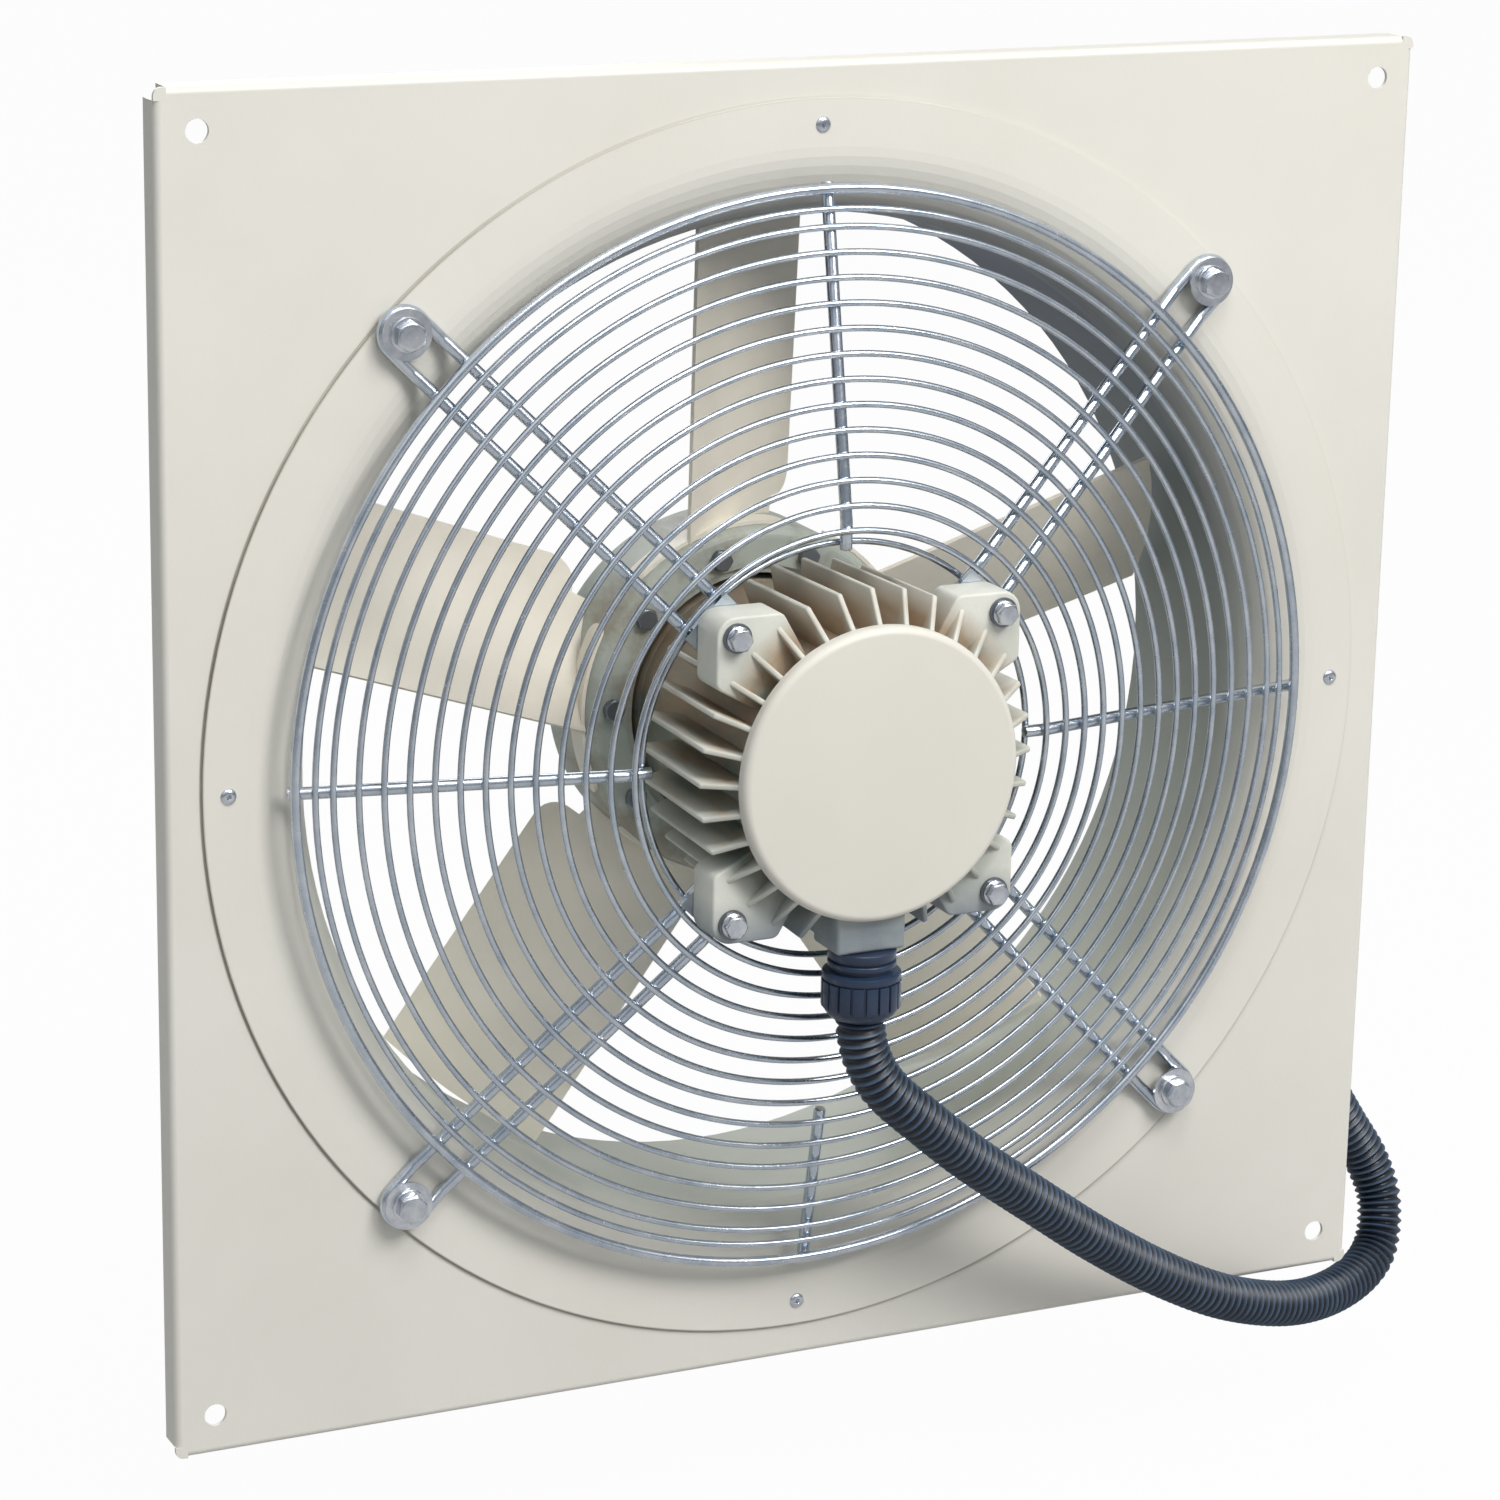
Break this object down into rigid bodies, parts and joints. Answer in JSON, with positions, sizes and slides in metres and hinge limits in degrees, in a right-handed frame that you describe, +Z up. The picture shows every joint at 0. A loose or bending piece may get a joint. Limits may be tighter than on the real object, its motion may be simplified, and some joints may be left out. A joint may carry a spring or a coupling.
{
  "type": "wall exhaust fan",
  "caption": "Square plate-mounted axial exhaust fan: wire guard carrying a finned motor, bladed impeller in a flared duct, and a corrugated hose for the motor lead.",
  "frame": {"origin": "centre of the wall plate's hole pattern, on the plate's front face, which is also on the impeller's axis", "axes": "+X to the right and +Z up as seen from the guard side, +Y along the impeller's axis from the guard side through the plate into the duct"},
  "size_m": [0.7152, 0.204, 0.6892],
  "materials": {
    "plate_paint": "satin",
    "motor_paint": "satin",
    "guard_zinc": "satin",
    "zinc_fasteners": "satin",
    "core_steel": "matte",
    "winding_copper": "gloss",
    "bearing_steel": "gloss",
    "rotor_aluminium": "matte",
    "shaft_steel": "satin",
    "impeller_sheet": "satin",
    "black_nylon": "satin",
    "hose_nylon": "satin",
    "seal_rubber": "matte"
  },
  "bodies": {
    "frame": {"mounting_plate": "plate_paint", "inlet_ring": "plate_paint", "ring_rivets": "zinc_fasteners", "guard_outer_ring": "guard_zinc", "guard_rings": "guard_zinc", "guard_radial_rods": "guard_zinc", "guard_support_rods": "guard_zinc", "guard_motor_pads": "guard_zinc", "guard_bolts": "zinc_fasteners", "guard_washers": "zinc_fasteners", "guard_nuts": "zinc_fasteners", "motor_housing": "motor_paint", "motor_cap": "motor_paint", "cap_seal": "seal_rubber", "rear_end_shield": "motor_paint", "shield_screws": "zinc_fasteners", "lug_bolts": "zinc_fasteners", "lug_washers": "zinc_fasteners", "lug_nuts": "zinc_fasteners", "stator_core": "core_steel", "stator_windings": "winding_copper", "wave_washer": "bearing_steel", "front_bearing_outer": "bearing_steel", "rear_bearing_outer": "bearing_steel", "gland_body": "black_nylon", "gland_seal": "seal_rubber", "gland_nut": "black_nylon", "hose": "hose_nylon", "end_fitting_nut": "black_nylon", "end_fitting_body": "black_nylon", "end_fitting_seal": "seal_rubber"},
    "impeller": {"front_bearing_inner": "bearing_steel", "rear_bearing_inner": "bearing_steel", "bearing_balls": "bearing_steel", "rotor_core": "core_steel", "rotor_end_rings": "rotor_aluminium", "rotor_shaft": "shaft_steel", "shaft_seal": "seal_rubber", "shaft_key": "shaft_steel", "hub_carrier": "impeller_sheet", "blade_ring": "impeller_sheet", "hub_bolts": "zinc_fasteners", "hub_nuts": "zinc_fasteners", "shaft_washer": "zinc_fasteners", "shaft_bolt": "zinc_fasteners", "blade_1": "impeller_sheet", "blade_2": "impeller_sheet", "blade_3": "impeller_sheet", "blade_4": "impeller_sheet", "blade_5": "impeller_sheet"}
  },
  "joints": [
    {"name": "impeller_spin", "type": "hinge", "parent": "frame", "child": "impeller", "pos_m": [0, 0, 0], "axis": [0, 1, 0], "continuous": true}
  ]
}
